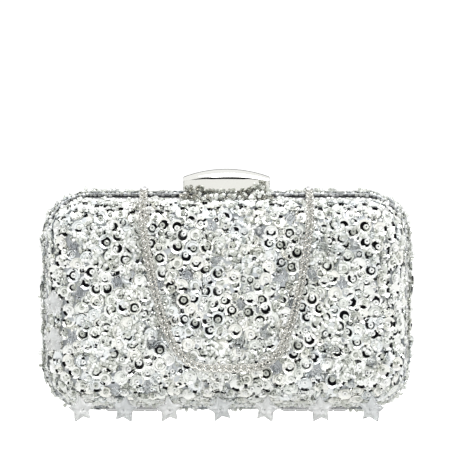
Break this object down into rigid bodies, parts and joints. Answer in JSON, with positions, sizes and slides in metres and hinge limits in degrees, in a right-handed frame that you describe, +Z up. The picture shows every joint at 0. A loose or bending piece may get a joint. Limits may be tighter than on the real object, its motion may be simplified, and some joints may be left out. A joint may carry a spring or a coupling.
{
  "type": "evening bag",
  "caption": "Hard-shell evening bag covered in silver sequins and clear beads, with a press-bar clasp, bottom hinges and a link chain over the front.",
  "frame": {"origin": "bottom centre of the bounding box: below the middle of the bag, on the surface that the star beads stand on, x = 0 midway along the bag; the parting plane is at y = 0", "axes": "+Z up, +X to the right seen from the front, the front face and its chain towards -Y"},
  "size_m": [0.188, 0.0654, 0.1268],
  "materials": {
    "shell": "moulded, matt",
    "cover": "fabric sewn all over with metallised cup sequins and seed beads",
    "rim": "dark nickel plate",
    "lining": "satin",
    "hinge": "nickel plate",
    "rivet": "nickel plate",
    "spring": "spring steel",
    "clasp": "polished",
    "chain": "bright nickel plate",
    "star": "clear, cut",
    "crystal": "clear, cut",
    "seed_bead": "silver-lined"
  },
  "bodies": {
    "rear_half": {"rear_shell": "shell", "rear_cover": "cover", "rear_rim": "rim", "rear_lining": "lining", "rear_hinge_leaves": "hinge", "hinge_pins": "hinge", "rear_rivets": "rivet", "keeper_spring": "spring", "keeper_rivets": "rivet", "slip_pocket": "lining", "rear_stars": "star", "rear_star_beads": "seed_bead", "rear_crystals": "crystal"},
    "front_half": {"front_shell": "shell", "front_cover": "cover", "front_rim": "rim", "front_lining": "lining", "front_hinge_leaves": "hinge", "front_rivets": "rivet", "front_stars": "star", "front_star_beads": "seed_bead", "edge_stars": "star", "cone_crystal": "crystal", "dagger_crystals": "crystal", "kite_crystals": "crystal", "chain_lugs": "hinge", "latch_bracket": "hinge", "return_springs": "spring"},
    "press_bar": {"press_bar": "clasp", "press_stems": "hinge", "latch_plate": "hinge", "stem_clips": "hinge"},
    "chain_run": {"chain_runs": "chain"},
    "chain_bend": {"chain_bends": "chain"},
    "chain_loop": {"chain_loop": "chain"}
  },
  "joints": [
    {"name": "front_opening", "type": "hinge", "parent": "rear_half", "child": "front_half", "pos_m": [0, 0, 0.0041], "axis": [1, 0, 0], "range_deg": [0, 90], "deforming": ["keeper_spring"]},
    {"name": "press_bar_press", "type": "slide", "parent": "front_half", "child": "press_bar", "axis": [0, 0, -1], "range_m": [0, 0.0016], "stiffness_N_per_m": 900, "springref_m": -0.002, "deforming": ["return_springs"]},
    {"name": "chain_lift", "type": "hinge", "parent": "front_half", "child": "chain_run", "pos_m": [0, -0.0023, 0.1154], "axis": [-1, 0, 0], "range_deg": [0, 90]},
    {"name": "chain_bend_lift", "type": "hinge", "parent": "chain_run", "child": "chain_bend", "pos_m": [0, -0.01446, 0.1154], "axis": [-1, 0, 0], "range_deg": [0, 45]},
    {"name": "chain_loop_lift", "type": "hinge", "parent": "chain_bend", "child": "chain_loop", "pos_m": [0, -0.0305, 0.09936], "axis": [-1, 0, 0], "range_deg": [0, 45]}
  ],
  "couplings": [
    {"joint": "chain_bend_lift", "follows": "chain_lift", "ratio": 0.5},
    {"joint": "chain_loop_lift", "follows": "chain_lift", "ratio": 0.5}
  ]
}
